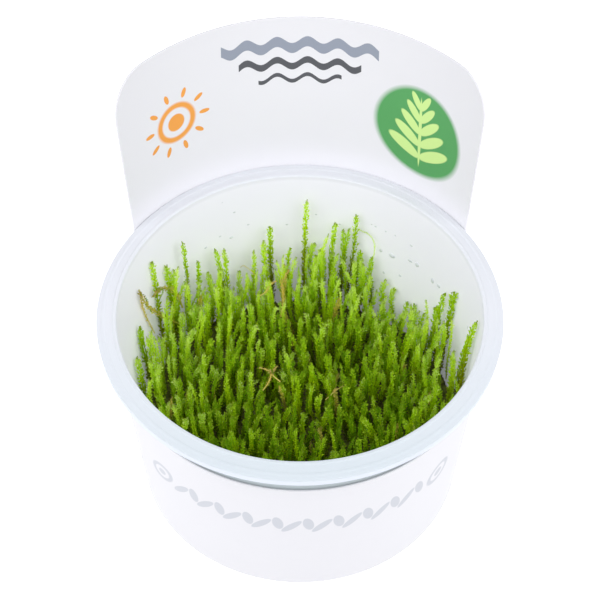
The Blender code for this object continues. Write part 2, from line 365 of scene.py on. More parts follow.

# %% [markdown]
# Polypropylene is milky because its crystals scatter light. A wall this thin passes some of it, so
# light falls through the rim from behind and the whole cup seems to glow a little: a share of
# translucency and a faint painted glow give the eye that. How milky it looks depends on how much
# light is behind it, so parts of the one moulding get painted shades: the outer face a grey-green
# for the shade of the skirt and the card, the skirt a light grey, and the ledge greyer at the front
# than at the back. Their borders are found from the place alone.

# %% The plastic's zones for painted shade and translucency
def plastic_zones(tree, place):
    """The share from 0 to 1 that each zone of the cup has at a place. The distance from the axis
    is the length of the place without its height. Less the wall's widening with height it tells
    the outer face from the inner one, and together with the height it finds the ledge."""
    level = add(tree, "VectorMath", {0: place, 1: (1.0, 1.0, 0.0)}, operation="MULTIPLY")
    from_axis = add(tree, "VectorMath", {0: level}, output="Value", operation="LENGTH")
    _, y, z = add(tree, "SeparateXYZ", {0: place}).node.outputs
    widening = (NECK_RADIUS - FOOT_RADIUS) / NECK_HEIGHT
    from_foot = add(tree, "Math", {0: z, 1: -widening, 2: from_axis}, operation="MULTIPLY_ADD")
    mouth_edge = NECK_RADIUS - WALL
    shares = {}
    # the outer face, the skirt and the ledge are zones of painted shade, and the back share paints
    # the ledge lighter behind
    for zone, value, first, last in (
        ("outer", from_foot, FOOT_RADIUS - 0.5, FOOT_RADIUS - 0.3),
        ("skirt", from_axis, NECK_RADIUS + 0.2, NECK_RADIUS + 0.5),
        ("rim", from_axis, mouth_edge - 0.15, mouth_edge + 0.1),
        ("top", z, RIM_EDGE_HEIGHT - 0.7, RIM_EDGE_HEIGHT - 0.2),
        ("back", y, -NECK_RADIUS, 0.0),
    ):
        edges = {"Value": value, "From Min": first * MM, "From Max": last * MM}
        shares[zone] = add(tree, "MapRange", edges)
    shares["ledge"] = add(tree, "Math", {0: shares["rim"], 1: shares["top"]}, operation="MULTIPLY")
    return shares


# %% [markdown]
# The cup is injection-moulded, and a moulded skin has a satin gloss with a faint unevenness, as
# on an orange. The index of polypropylene is 1.49.

# %% Milky polypropylene
PEEL_WIDTH = 1.11
CLOUD_WIDTH = 22.2


def milky_polypropylene():
    """Moulded polypropylene: clouds of two whites, zones of painted shade, a satin gloss that
    varies with the clouds, a fine orange peel, a share of translucency, and a faint painted glow."""
    material, tree = empty_material("milky polypropylene")
    place = add(tree, "TexCoord", output="Object")
    peel = add(tree, "TexNoise", {"Vector": place, "Scale": 1 / (PEEL_WIDTH * MM), "Detail": 2.0})
    cloud = add(tree, "TexNoise", {"Vector": place, "Scale": 1 / (CLOUD_WIDTH * MM), "Detail": 3.0})
    gloss = add(tree, "MapRange", {"Value": cloud, "To Min": 0.42, "To Max": 0.54})
    bump = add(tree, "Bump", {"Height": peel, "Strength": 0.08, "Distance": 0.0002})
    shares = plastic_zones(tree, place)
    # painted shades: the ledge darker at the front than at the back, the skirt greyer, and the
    # outer face grey-green for the shade under the skirt and the card
    ledge_painted_shades = {0: shares["back"], 6: linear("#b4bcc0"), 7: linear("#cacbcf")}
    whites = {0: cloud, 6: linear("#e5e3e9"), 7: linear("#e7e5eb")}
    colour = add(tree, "Mix", whites, **OF_COLOURS)
    for zone, shade in (
        ("outer", linear("#96a2a3")),
        ("skirt", linear("#c0c6cf")),
        ("ledge", add(tree, "Mix", ledge_painted_shades, **OF_COLOURS)),
    ):
        colour = add(tree, "Mix", {0: shares[zone], 6: colour, 7: shade}, **OF_COLOURS)
    # the emission is a faint painted glow, for light that comes through the wall
    shader = add(
        tree,
        "BsdfPrincipled",
        {
            "Base Color": colour,
            "Roughness": gloss,
            "Normal": bump,
            "IOR": 1.49,
            "Emission Color": linear("#f3f5fc"),
            "Emission Strength": 0.16,
        },
    )
    through = add(tree, "BsdfTranslucent", {"Color": linear("#fafdfb")})
    thin = add(tree, "MapRange", {"Value": shares["ledge"], "To Min": 0.08, "To Max": 0.2})
    both = add(tree, "MixShader", {0: thin, 1: shader, 2: through})
    add(tree, "OutputMaterial", {"Surface": both})
    return material


# %% Make the cup
cup_points, cup_faces = turn_outline(cup_outline, CUP_STEPS)
cup = make_piece(
    "milky_cup", cup_points, cup_faces, [milky_polypropylene()], "cup"
)
merge_points(cup)

# %% [markdown]
# ## The card
#
# One sheet of coated white card wraps the cup from its foot to below the rim. At the back the
# same sheet runs straight up past the rim, which shows through a slit, and on as a sign with
# round corners, whose top falls a little to both sides. A sheet that is not stretched is
# straight in one direction, so each column of the grid is a straight line from the foot upwards,
# and only the angle changes from column to column.

# %% The card's sizes
FIT_GAP = 0.3
RIM_GAP = 0.05
FOOT_GAP = 0.1
CARD_THICKNESS = 0.45
SLEEVE_BOTTOM = 0.3
SLEEVE_TOP = 46.6
PANEL_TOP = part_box("card_sleeve")[1].z / MM
PANEL_HALF_ANGLE = 57.3
PANEL_NARROWING = 0.0934
PANEL_CORNER = 10.0
PANEL_TOP_FALL = 2.0
PANEL_FOOT_ROUND = 2.5
PANEL_LEAVES_CUP_BY = 58.0
PANEL_HUGS_CUP_FROM = 84.0
SLIT_HALF_ANGLE = 33.0
SLIT_BOTTOM = 54.4
SLIT_TOP = 56.6
SLIT_END_RISE = 0.1
print("the sign stands", round(PANEL_TOP - SLEEVE_TOP, 1), "mm above the sleeve")


# %% The card's curved form
def smooth_step(x):
    """Rises from 0 to 1 as 3 x squared minus 2 x cubed."""
    x = np.clip(x, 0.0, 1.0)
    return x * x * (3.0 - 2.0 * x)


def card_radius(angle, z):
    """Inner radius of the card. At the front and sides it is the cup's outside plus a gap. At the
    back it is a straight line from the foot to just outside the rim. In between it blends."""
    hugging = cup_outside(z) + FIT_GAP
    foot = cup_outside(0.0) + FOOT_GAP
    at_skirt = RIM_RADIUS - SKIRT_LEAN + RIM_GAP
    standing = foot + (at_skirt - foot) / SKIRT_BOTTOM * z
    away = (np.abs(angle) - PANEL_LEAVES_CUP_BY) / (PANEL_HUGS_CUP_FROM - PANEL_LEAVES_CUP_BY)
    return standing + (hugging - standing) * smooth_step(away)


def card_points(column, z):
    """Points of the card's inner face. Above the sleeve's edge the columns draw together, so that
    the sign's sides stand nearly parallel. Returns places and (distance round, height) pairs."""
    above = np.clip((z - SLEEVE_TOP) / (PANEL_TOP - SLEEVE_TOP), 0.0, None)
    on_panel = np.abs(column) <= PANEL_HALF_ANGLE
    angle = np.where(on_panel, column * (1.0 - PANEL_NARROWING * above), column)
    back_angle = np.where(angle > 180.0, angle - 360.0, angle)
    radius = card_radius(back_angle, z)
    turn = np.radians(angle)
    places = np.stack([radius * np.sin(turn), radius * np.cos(turn), z], axis=-1)
    return places, np.stack([turn * radius, z], axis=-1)


# %% The card's columns
CORNER_COLUMNS = 13
SLIT_COLUMNS = 34
EDGE_COLUMNS = 18
FOOT_COLUMNS = 8
SIDE_COLUMNS = 100


def panel_columns():
    """Angle and top height of each column of the sign. Where a column meets a round corner, its
    top lies on a quarter circle. The whole top falls with the squared share of the half width."""
    turn = np.radians(np.linspace(0, 90, CORNER_COLUMNS))
    top = PANEL_TOP - PANEL_CORNER * (1.0 - np.cos(turn))
    inset = np.degrees(PANEL_CORNER * (1.0 - np.sin(turn)) / card_radius(0.0, top))
    corner = PANEL_HALF_ANGLE - inset / (1.0 - PANEL_NARROWING)
    over_slit = np.linspace(0, SLIT_HALF_ANGLE, SLIT_COLUMNS)
    beside_slit = np.linspace(SLIT_HALF_ANGLE, corner[0], EDGE_COLUMNS)[1:-1]
    level = np.concatenate([over_slit, beside_slit])
    half = np.concatenate([level, corner])
    tops = np.concatenate([np.full(len(level), PANEL_TOP), top])
    tops -= PANEL_TOP_FALL * (half / PANEL_HALF_ANGLE) ** 2
    return np.concatenate([-half[:0:-1], half]), np.concatenate([tops[:0:-1], tops])


def side_columns():
    """Angle and top height of the columns from the sign's right edge round the front to its left
    edge. A small hollow curve joins each edge to the sleeve's level top."""
    turn = np.radians(np.linspace(0, 90, FOOT_COLUMNS))[1:]
    reach = math.degrees(PANEL_FOOT_ROUND / card_radius(PANEL_HALF_ANGLE, SLEEVE_TOP))
    rising = PANEL_HALF_ANGLE + reach * (1.0 - np.cos(turn))
    heights = SLEEVE_TOP + PANEL_FOOT_ROUND * (1.0 - np.sin(turn))
    level = np.linspace(rising[-1], 180.0, SIDE_COLUMNS)[1:]
    half = np.concatenate([rising, level])
    tops = np.concatenate([heights, np.full(len(level), SLEEVE_TOP)])
    return np.concatenate([half, 360.0 - half[-2::-1]]), np.concatenate([tops, tops[-2::-1]])


# %% The card's sheet
WALL_ROWS = 24
BELOW_SLIT_ROWS = 3
SLIT_ROWS = 3
SIGN_ROWS = 36
HEM = 0.12


def rows_between(low, high, count, hem_low=False, hem_high=False):
    """Heights of rows from just above low to high, column by column, evenly spread. A hem is one
    row close to a free edge, so that the smooth shading turns only there."""
    start = low + HEM * hem_low
    end = high - HEM * hem_high
    spread = count - hem_low - hem_high
    rows = start + (end - start) * (np.arange(1, spread + 1)[:, None] / spread)
    return np.vstack([start[None]] * hem_low + [rows] + [high[None]] * hem_high)


def card_sheet():
    """The sheet as one grid of straight columns: a wall all round, and above it the sign's rows,
    with the slit's faces left out. Returns points, faces and each point's pair."""
    panel, panel_top = panel_columns()
    side, side_top = side_columns()
    column = np.concatenate([panel, side, [panel[0] + 360.0]])
    first_top = SLEEVE_TOP + PANEL_FOOT_ROUND
    top = np.concatenate([np.full(len(panel), first_top), side_top, [first_top]])
    bottom = np.full(len(column), SLEEVE_BOTTOM)
    wall_z = np.vstack([bottom, rows_between(bottom, top, WALL_ROWS, True, True)])
    wall, wall_uv = card_points(np.broadcast_to(column, wall_z.shape), wall_z)
    wall_faces = grid_faces(WALL_ROWS + 1, len(column))

    rise = SLIT_END_RISE * np.minimum(1.0, (panel / SLIT_HALF_ANGLE) ** 2)
    slit_low = np.full(len(panel), SLIT_BOTTOM)
    slit_high = SLIT_TOP + rise
    base = np.full(len(panel), first_top)
    below = rows_between(base, slit_low, BELOW_SLIT_ROWS, hem_high=True)
    slit = rows_between(slit_low, slit_high, SLIT_ROWS)
    above = rows_between(slit_high, panel_top, SIGN_ROWS, True, True)
    sign_z = np.vstack([base, below, slit, above])
    sign, sign_uv = card_points(np.broadcast_to(panel, sign_z.shape), sign_z)
    sign_faces = grid_faces(len(sign_z), len(panel))
    row, face = np.divmod(np.arange(len(sign_faces)), len(panel) - 1)
    middle = (panel[:-1] + panel[1:])[face] / 2
    in_slit_rows = (row >= BELOW_SLIT_ROWS) & (row < BELOW_SLIT_ROWS + SLIT_ROWS)
    in_slit = in_slit_rows & (np.abs(middle) < SLIT_HALF_ANGLE)
    faces = np.vstack([wall_faces, sign_faces[~in_slit] + wall.size // 3])
    points = np.vstack([wall.reshape(-1, 3), sign.reshape(-1, 3)])
    pairs = np.vstack([wall_uv.reshape(-1, 2), sign_uv.reshape(-1, 2)])
    return points, faces[:, ::-1], pairs


# %% [markdown]
# ## What is printed on the card
#
# The print is a plain design of water plants: waves, a sun and a sprig on a round field on the
# sign, and a garland of slanted leaves round the front. Ink has no thickness, so it is only
# colour. Each shape is a formula on the card's own map, whose numbers are millimetres, so the
# print follows the curved sheet.

# %% Shapes for printing
INK_EDGE = 0.06


def inside_oval(tree, spot, centre, half_size, degrees=0.0):
    """1 inside a turned oval, with a narrow soft edge. The spot is moved to the centre, turned
    and divided by the half sizes, and its length is then less than 1."""
    turn = (0.0, 0.0, math.radians(degrees))
    oval = {"Location": (*centre, 0.0), "Rotation": turn, "Scale": (*half_size, 1.0)}
    moved = add(tree, "Mapping", {"Vector": spot, **oval}, vector_type="TEXTURE")
    away = add(tree, "VectorMath", {0: moved}, output="Value", operation="LENGTH")
    edge = {"From Min": 1 + INK_EDGE, "From Max": 1 - INK_EDGE}
    return add(tree, "MapRange", {"Value": away, **edge})


def join(tree, shapes):
    """1 where any of the shapes is: the highest of their values."""
    whole = shapes[0]
    for shape in shapes[1:]:
        whole = add(tree, "Math", {0: whole, 1: shape}, operation="MAXIMUM")
    return whole


def overlap(tree, first, second):
    """1 where both shapes are: the product of their values."""
    return add(tree, "Math", {0: first, 1: second}, operation="MULTIPLY")


def between(tree, value, low, high):
    """1 where the value lies between two limits."""
    over = add(tree, "Math", {0: value, 1: low}, operation="GREATER_THAN")
    under = add(tree, "Math", {0: value, 1: high}, operation="LESS_THAN")
    return overlap(tree, over, under)


def ringed_dot(tree, spot, centre, outer, inner, dot):
    """A round ring between two radii, which is a disc less a smaller one, and a dot in it."""
    whole, hole, middle = [inside_oval(tree, spot, centre, (r, r)) for r in (outer, inner, dot)]
    return [add(tree, "Math", {0: whole, 1: hole}, operation="SUBTRACT"), middle]


# %% The waves and the sun
# middle height, half thickness and reach to each side
TOP_WAVE = (94.0, 1.5, 20.0)
LOWER_WAVES = ((88.6, 1.0, 15.5), (84.2, 0.6, 10.5))
WAVE_LENGTH = 7.7
WAVE_HEIGHT = 1.0
SUN_CENTRE = (-33.0, 79.0)
SUN_RADIUS = 5.6
SUN_RING = 1.5
SUN_DOT = 2.4
SUN_RAYS = 10
SUN_RAY = (1.4, 0.6)
SUN_RAY_AWAY = 2.5


def wave_lines(tree, across, height, waves):
    """Lines whose height follows a sine of the distance across: a line is where the height less
    the wave's swing stays near the line's middle."""
    angle = add(tree, "Math", {0: across, 1: math.tau / WAVE_LENGTH}, operation="MULTIPLY")
    sine = add(tree, "Math", {0: angle}, operation="SINE")
    level = add(tree, "Math", {0: sine, 1: -WAVE_HEIGHT, 2: height}, operation="MULTIPLY_ADD")
    lines = []
    for middle, half, reach in waves:
        line = between(tree, level, middle - half, middle + half)
        lines.append(overlap(tree, line, between(tree, across, -reach, reach)))
    return join(tree, lines)


def sun(tree, spot):
    """A ring, its centre and a circle of short rays."""
    shapes = ringed_dot(tree, spot, SUN_CENTRE, SUN_RADIUS, SUN_RADIUS - SUN_RING, SUN_DOT)
    x, y = SUN_CENTRE
    reach = SUN_RADIUS + SUN_RAY_AWAY
    for turn in np.linspace(0, math.tau, SUN_RAYS, endpoint=False):
        centre = (x + reach * math.cos(turn), y + reach * math.sin(turn))
        shapes.append(inside_oval(tree, spot, centre, SUN_RAY, math.degrees(turn)))
    return join(tree, shapes)


# %% The sprig on its round field
FIELD_CENTRE = (32.0, 75.5)
FIELD_RADIUS = 12.5
SPRIG_FOOT = (32.0, 65.5)
SPRIG_HEIGHT = 20.0
SPRIG_STEM = 0.45
SPRIG_PAIRS = 5
SPRIG_LEAF_WIDTH = 0.32
# from the lowest pair to the highest: half length, degrees of rise, and place on the stem
SPRIG_LEAVES = ((4.9, 2.7), (28.0, 62.0), (0.12, 0.82))


def sprig(tree, spot):
    """A water plant: pairs of leaves that get shorter and steeper up an upright stem."""
    x, y = SPRIG_FOOT
    half = SPRIG_HEIGHT / 2
    shapes = [inside_oval(tree, spot, (x, y + half), (SPRIG_STEM, half))]
    pairs = [np.linspace(*limits, SPRIG_PAIRS) for limits in SPRIG_LEAVES]
    for long, rise, share in zip(*pairs):
        out = long * math.cos(math.radians(rise))
        height = y + SPRIG_HEIGHT * share + long * math.sin(math.radians(rise))
        leaf = (long, SPRIG_LEAF_WIDTH * long)
        for side in (-1, 1):
            shapes.append(inside_oval(tree, spot, (x + side * out, height), leaf, side * rise))
    return join(tree, shapes)


# %% The garland
GARLAND_HEIGHT = 30.0
GARLAND_SPACING = 7.4
GARLAND_REACH = 33.3
GARLAND_LEAF = (3.1, 1.2)
GARLAND_SLANT = 62.0
GARLAND_STAGGER = 0.6
END_MARK_AT = 38.5
END_MARK_RADII = (3.9, 2.6, 1.3)


def garland(tree, across, height):
    """A row of slanted leaves that lean to and fro, and a ringed dot at each end. The distance
    round is folded into one spacing, so one pair of leaves draws them all."""
    half = GARLAND_SPACING / 2
    folded = add(tree, "Math", {0: across, 1: -half, 2: half}, operation="WRAP")
    spot = add(tree, "CombineXYZ", {"X": folded, "Y": height})
    leaves = []
    for side in (-1, 1):
        centre = (side * half / 2, GARLAND_HEIGHT - side * GARLAND_STAGGER)
        leaves.append(inside_oval(tree, spot, centre, GARLAND_LEAF, -side * GARLAND_SLANT))
    in_reach = between(tree, across, -GARLAND_REACH, GARLAND_REACH)
    shapes = [overlap(tree, join(tree, leaves), in_reach)]
    unfolded = add(tree, "CombineXYZ", {"X": across, "Y": height})
    for side in (-1, 1):
        centre = (side * END_MARK_AT, GARLAND_HEIGHT)
        shapes += ringed_dot(tree, unfolded, centre, *END_MARK_RADII)
    return join(tree, shapes)


# %% [markdown]
# Card for such sleeves is bleached board with a thin clay coating, rolled smooth. To the eye it is
# a bright, faintly cool white with a soft satin gloss. The pressed fibres show as slight clouds.
# They are finer than a pixel here, so they are drawn as coarse as they need to be. The white itself
# carries painted light and shade: it is lighter on the low part of the sign than on the front, and
# greyer towards the sign's top.

# %% The white of the board, with painted light and shade
CLOUDS_IN_BOARD = 4.55
# heights between which the front's white turns into the sign's lighter painted white, and the
# sign's gets greyer as painted shade
SIGN_BEGINS = {"From Min": 48.0, "From Max": 56.0}
SIGN_PAINTED_SHADE = {"From Min": 58.0, "From Max": PANEL_TOP}


def board_white_and_painted_shade(tree, fibre, height):
    """The card's white: clouds of two whites, and on the sign a painted white that starts lighter
    than the front's and gets a little greyer towards the top, as painted light and shade. The
    height on the card's map tells the two apart."""
    front_whites = {0: fibre, 6: linear("#d4d3d5"), 7: linear("#d7d6d8")}
    front = add(tree, "Mix", front_whites, **OF_COLOURS)
    up_the_sign = add(tree, "MapRange", {"Value": height, **SIGN_PAINTED_SHADE})
    sign_painted_shades = {0: up_the_sign, 6: linear("#e1e0e3"), 7: linear("#d4d3d5")}
    sign = add(tree, "Mix", sign_painted_shades, **OF_COLOURS)
    on_the_sign = add(tree, "MapRange", {"Value": height, **SIGN_BEGINS})
    return add(tree, "Mix", {0: on_the_sign, 6: front, 7: sign}, **OF_COLOURS)


# %% Coated card
def coated_card(name, printed_side):
    """White board with its print. The sign's face carries the waves, the sun and the sprig on
    its field, and the outer face the garland round the front."""
    material, tree = empty_material(name)
    uv = add(tree, "UVMap", uv_map="print")
    across, height, _ = add(tree, "SeparateXYZ", {0: uv}).node.outputs
    place = add(tree, "TexCoord", output="Object")
    grain = {"Scale": 1 / (CLOUDS_IN_BOARD * MM), "Detail": 5.0, "Roughness": 0.6}
    fibre = add(tree, "TexNoise", {"Vector": place, **grain})
    colour = board_white_and_painted_shade(tree, fibre, height)
    if printed_side == "sign":
        field = inside_oval(tree, uv, FIELD_CENTRE, (FIELD_RADIUS, FIELD_RADIUS))
        inks = (
            (wave_lines(tree, across, height, [TOP_WAVE]), "#8b919d"),
            (wave_lines(tree, across, height, LOWER_WAVES), "#55565a"),
            (sun(tree, uv), "#e39a4a"),
            (field, "#569a5c"),
            (sprig(tree, uv), "#c3e08e"),
        )
    else:
        halfway_round = math.pi * card_radius(180.0, GARLAND_HEIGHT)
        front = add(tree, "Math", {0: across, 1: halfway_round}, operation="SUBTRACT")
        inks = ((garland(tree, front, height), "#bcbec3"),)
    for mask, ink in inks:
        colour = add(tree, "Mix", {0: mask, 6: colour, 7: linear(ink)}, **OF_COLOURS)
    gloss = add(tree, "MapRange", {"Value": fibre, "To Min": 0.38, "To Max": 0.5})
    bump = add(tree, "Bump", {"Height": fibre, "Strength": 0.05, "Distance": 0.0001})
    satin = {"Roughness": gloss, "Normal": bump, "Specular IOR Level": 0.2}
    shader = add(tree, "BsdfPrincipled", {"Base Color": colour, **satin})
    add(tree, "OutputMaterial", {"Surface": shader})
    return material


# %% Make the card
sheet_points, sheet_faces, sheet_uv = card_sheet()
card = make_piece(
    "card_wrap_and_sign",
    sheet_points,
    sheet_faces,
    [coated_card("coated card, outer face", "out"), coated_card("coated card, sign face", "sign")],
    "card_sleeve",
    uv=("print", sheet_uv),
)
merge_points(card, closed=False)
# the sheet thickens outwards, and the inner face that this makes takes the sign's material
board = card.modifiers.new("board", "SOLIDIFY")
board.thickness = CARD_THICKNESS * MM
board.offset = 1.0
board.use_even_offset = True
board.material_offset = 1
board.material_offset_rim = 1

# %% [markdown]
# ## The gel
#
# Tissue culture grows on agar, a clear gel set in the foot of the cup. It creeps up the wall by
# a millimetre where it meets the plastic. It is water with a little agar, so its index is
# water's, and it is a little cloudy.

# %% The gel disc
GEL_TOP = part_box("nutrient_gel")[1].z / MM
GEL_LEVEL = GEL_TOP - 0.6
GEL_CREEP = 0.9
GEL_CREEP_WIDTH = 4.0
GEL_FOOT_ROUND = 2.0
gel_reach = cup_inside(GEL_TOP) - FIT_GAP
gel_bottom = CUP_FLOOR + FIT_GAP
# towards the wall the gel's top rises with the cube of the way
creep = np.linspace(0, 1, 12)
gel_top_edge = np.stack(
    [gel_reach - GEL_CREEP_WIDTH * (1 - creep), GEL_LEVEL + GEL_CREEP * creep**3], axis=1
)
gel_foot = rounded_outline(
    [
        (*gel_top_edge[-1], 0),
        (cup_inside(gel_bottom) - FIT_GAP, gel_bottom, GEL_FOOT_ROUND),
        (0.0, gel_bottom, 0),
    ]
)
gel_outline = np.vstack([[(0.0, GEL_LEVEL)], gel_top_edge, gel_foot[1:]])
print("gel", round(GEL_LEVEL - gel_bottom, 1), "mm deep")

# %% Agar gel
GEL_CLOUDS = 16.7
GEL_STEPS = 96


def agar_gel():
    """Poured agar: a wet, see-through cream with a gloss that varies a little."""
    material, tree = empty_material("agar gel")
    place = add(tree, "TexCoord", output="Object")
    cloud = add(tree, "TexNoise", {"Vector": place, "Scale": 1 / (GEL_CLOUDS * MM), "Detail": 3.0})
    gloss = add(tree, "MapRange", {"Value": cloud, "To Min": 0.08, "To Max": 0.2})
    wet = {"Roughness": gloss, "IOR": 1.34, "Transmission Weight": 0.75}
    shader = add(tree, "BsdfPrincipled", {"Base Color": linear("#ece6cf"), **wet})
    add(tree, "OutputMaterial", {"Surface": shader})
    return material


gel_points, gel_faces = turn_outline(gel_outline, GEL_STEPS)
gel = make_piece("gel_disc", gel_points, gel_faces, [agar_gel()], "nutrient_gel")
merge_points(gel)

# %% [markdown]
# ## The moss
#
# Flame moss grows as upright, slightly wavy shoots. Each is a hair-thin stem wrapped in tiny
# pointed leaves, so it looks like a bumpy green cord about 1.5 mm thick, pale at the tip and
# dark at the foot. A particle system would be dropped by the export, so all the leaves of all
# the shoots are worked out at once as arrays. Each leaf is a closed wedge with four faces.
#
# The carpet isn't level: it swells on the left, in the middle of the back and on the right, and
# sinks between them. A swell is a soft round hill or, with a minus, a hollow.

# %% Where the carpet is high and low
MOSS_LEVEL = 30.0
# place x and y, rise, spread
SWELLS = np.array([
    (-30, 24, 9, 9),
    (-40, 4, 5, 6),
    (2, 38, 5, 10),
    (14, 36, 5, 6),
    (27, 30, -6, 8),
    (39, 14, 8, 6),
    (-14, 36, -3, 5),
    (20, -18, 2, 12),
], float)
SEED = 11
draw = np.random.default_rng(SEED)


def by_the_wall(x, y):
    """0 in the middle and at the front, and 1 near the wall at the back and the sides, where the
    light falls in, so the shoots there get a paler tone as painted light. It rises from 22 to 38 mm
    away from the axis, and from 22 mm in front of it to 4 mm behind it."""
    reach = smooth_step((np.hypot(x, y) - 22.0) / 16.0)
    return reach * smooth_step((y + 22.0) / 26.0)


def moss_level(x, y):
    """The carpet's height: a level plus each swell's rise times e to the minus half the squared
    distance over its squared spread."""
    level = np.full(np.shape(x), MOSS_LEVEL)
    for swell_x, swell_y, rise, spread in SWELLS:
        away = ((x - swell_x) ** 2 + (y - swell_y) ** 2) / (2.0 * spread**2)
        level = level + rise * np.exp(-away)
    return level


print("carpet", MOSS_LEVEL, "mm above the table, with", len(SWELLS), "swells")

# %% [markdown]
# A few dozen tall shoots at the back and the sides stand out against the wall. Their places were
# chosen one by one, so each row below is one of them. A few faded strands, olive, yellow or brown,
# lie across the others.

# %% Tall shoots and faded strands
# tip x, y, z, then how far the foot stands from the tip along x and y
TALL_SHOOTS = np.array([
    (1.7, 42.0, 52, -0.3, -1),
    (-7.8, 40.0, 44, 0.6, -1),
    (-9.5, 38.0, 41, 1.5, -2),
    (-2.5, 39.0, 37, -0.5, -1),
    (-12.2, 38.0, 37, 0.2, -1),
    (-16.0, 37.0, 30, 0.0, -1),
    (-19.6, 35.0, 41, 0.9, -2),
    (-22.0, 34.0, 42, 1.7, -2),
    (-24.0, 33.0, 34, 0.5, -1),
    (-26.5, 31.0, 41, -1.0, -2),
    (-30.0, 29.5, 50, 1.8, -2),
    (-32.5, 27.0, 42, 0.3, -2),
    (-34.5, 26.0, 45, -0.4, -2),
    (-37.5, 22.0, 51, 1.5, -2),
    (-40.6, 10.5, 39, 0.8, -1),
    (-41.2, 4.0, 35, 0.5, 0),
    (3.8, 40.5, 37, 0.2, -1),
    (5.5, 39.5, 35, 0.6, -1),
    (9.3, 40.5, 45, -1.4, -2),
    (11.2, 40.0, 43, -0.4, -2),
    (12.8, 39.5, 44, -2.6, -2),
    (14.5, 40.0, 49, -1.9, -2),
    (15.8, 38.0, 37, -0.4, -1),
    (18.9, 36.5, 36, -0.4, -1),
    (22.5, 34.0, 30, -0.5, -1),
    (24.8, 32.5, 28, 0.4, -1),
    (28.5, 30.0, 26, -1.0, -1),
    (30.2, 28.5, 27, -0.4, -1),
    (31.8, 27.0, 26, -0.3, -1),
    (33.2, 25.5, 27, -0.2, -1),
    (35.6, 22.0, 33, -1.5, -1),
    (37.0, 20.0, 41, -0.8, -1),
    (39.0, 17.0, 45, -0.9, -1),
    (42.6, 3.0, 45, -0.8, 0),
    (43.6, 1.0, 53, -1.5, 0),
])
# tip x, y, z, then foot x, y, z, then bow x, z, then thickness and tone
FADED_STRANDS = np.array([
    (-40.7, 15.0, 48.5, -31.0, 19.0, 30.0, -1.6, -1.5, 1.05, 0.075),
    (-40.5, 15.0, 48.0, -37.5, 16.0, 30.0, -0.8, 0.5, 0.55, 0.06),
    (-38.5, 20.0, 40.5, -30.5, 23.0, 32.0, 0.6, 5.6, 1.15, 0.08),
    (-37.5, 20.0, 44.0, -37.0, 20.0, 36.0, 2.2, 2.0, 0.4, 0.3),
    (-15.6, 37.5, 31.0, -11.0, 36.0, 28.0, 0.0, 1.5, 0.35, 0.02),
    (-2.9, 33.0, 35.0, -5.0, 24.0, 27.0, -0.5, 1.0, 1.05, 0.04),
    (-6.3, 30.5, 33.5, -10.4, 26.1, 33.0, 0.3, 0.6, 0.85, 0.03),
    (13.0, 39.5, 44.0, 16.8, 35.5, 29.0, 4.4, 4.5, 0.42, 0.9),
    (-10.2, 2.4, 33.0, -5.0, -0.6, 31.0, 0.4, 1.0, 0.95, 0.06),
    (-5.8, 2.4, 33.5, -9.4, -2.2, 29.5, 0.2, 0.8, 0.75, 0.04),
    (10.8, -3.2, 32.5, 6.4, -5.6, 30.0, 0.0, 0.8, 0.6, 0.04),
])
print(len(TALL_SHOOTS), "tall shoots and", len(FADED_STRANDS), "faded strands")

# %% [markdown]
# The rest of the carpet stands in a triangular pattern that chance has moved about, which keeps
# an even density with no rows to see. A shoot is one row in each of a few arrays, so that one
# formula bends, thickens and colours them all.

# %% Where the shoots stand
SPACING = 2.48
PLACE_JITTER = 0.85
ELBOW_ROOM = 1.3
WALL_CLEARANCE = 1.0
GRID_REACH = 50
GRID_COLUMNS = 25
TIP_HEIGHT = 20.0


def shoot_places():
    """A triangular grid of places, each moved a little. Places too near the wall, as it is at
    20 mm, or too near a tall shoot are left out."""
    step = SPACING * math.sqrt(3) / 2
    rows = np.arange(-GRID_REACH, GRID_REACH, step)
    y, i = np.meshgrid(rows, np.arange(-GRID_COLUMNS, GRID_COLUMNS), indexing="ij")
    x = (i + 0.5 * (np.arange(len(rows)) % 2)[:, None]) * SPACING
    places = np.stack([x.ravel(), y.ravel()], axis=1)
    places += draw.normal(0.0, PLACE_JITTER, places.shape)
    places = places[np.hypot(places[:, 0], places[:, 1]) < cup_inside(TIP_HEIGHT) - ELBOW_ROOM]
    crowd = places[:, None, :] - TALL_SHOOTS[None, :, :2]
    return places[np.hypot(crowd[..., 0], crowd[..., 1]).min(axis=1) > ELBOW_ROOM]


def keep_inside(points):
    """Draws points in towards the axis where they would touch the wall."""
    reach = np.hypot(points[:, 0], points[:, 1])
    limit = cup_inside(points[:, 2]) - WALL_CLEARANCE
    points[:, :2] *= np.minimum(1.0, limit / np.maximum(reach, 0.01))[:, None]


def gather(shoots, chosen):
    """The chosen rows of every array that describes the shoots."""
    return {name: values[chosen] for name, values in shoots.items()}


def together(*groups):
    """Several groups of shoots as one."""
    return {name: np.concatenate([group[name] for group in groups]) for name in groups[0]}


def unit(vectors):
    """Vectors divided by their lengths."""
    return vectors / np.linalg.norm(vectors, axis=-1, keepdims=True)


def stem_line(shoots, share):
    """Places along the stems, and the way they point there. A stem is the straight line from
    foot to tip, plus the bow times 4 share (1 - share), plus the sway times the sine of a whole
    turn: neither moves the ends."""
    along = share[:, None]
    turn = math.tau * along
    place = shoots["foot"] + (shoots["tip"] - shoots["foot"]) * along
    place = place + shoots["bow"] * 4 * along * (1 - along) + shoots["sway"] * np.sin(turn)
    slope = shoots["tip"] - shoots["foot"] + shoots["bow"] * (4 - 8 * along)
    return place, unit(slope + shoots["sway"] * math.tau * np.cos(turn))


def sideways(spread, count):
    """Random level steps: x and y are normal draws of this spread, and z is 0."""
    return np.column_stack([draw.normal(0.0, spread, (count, 2)), np.zeros(count)])


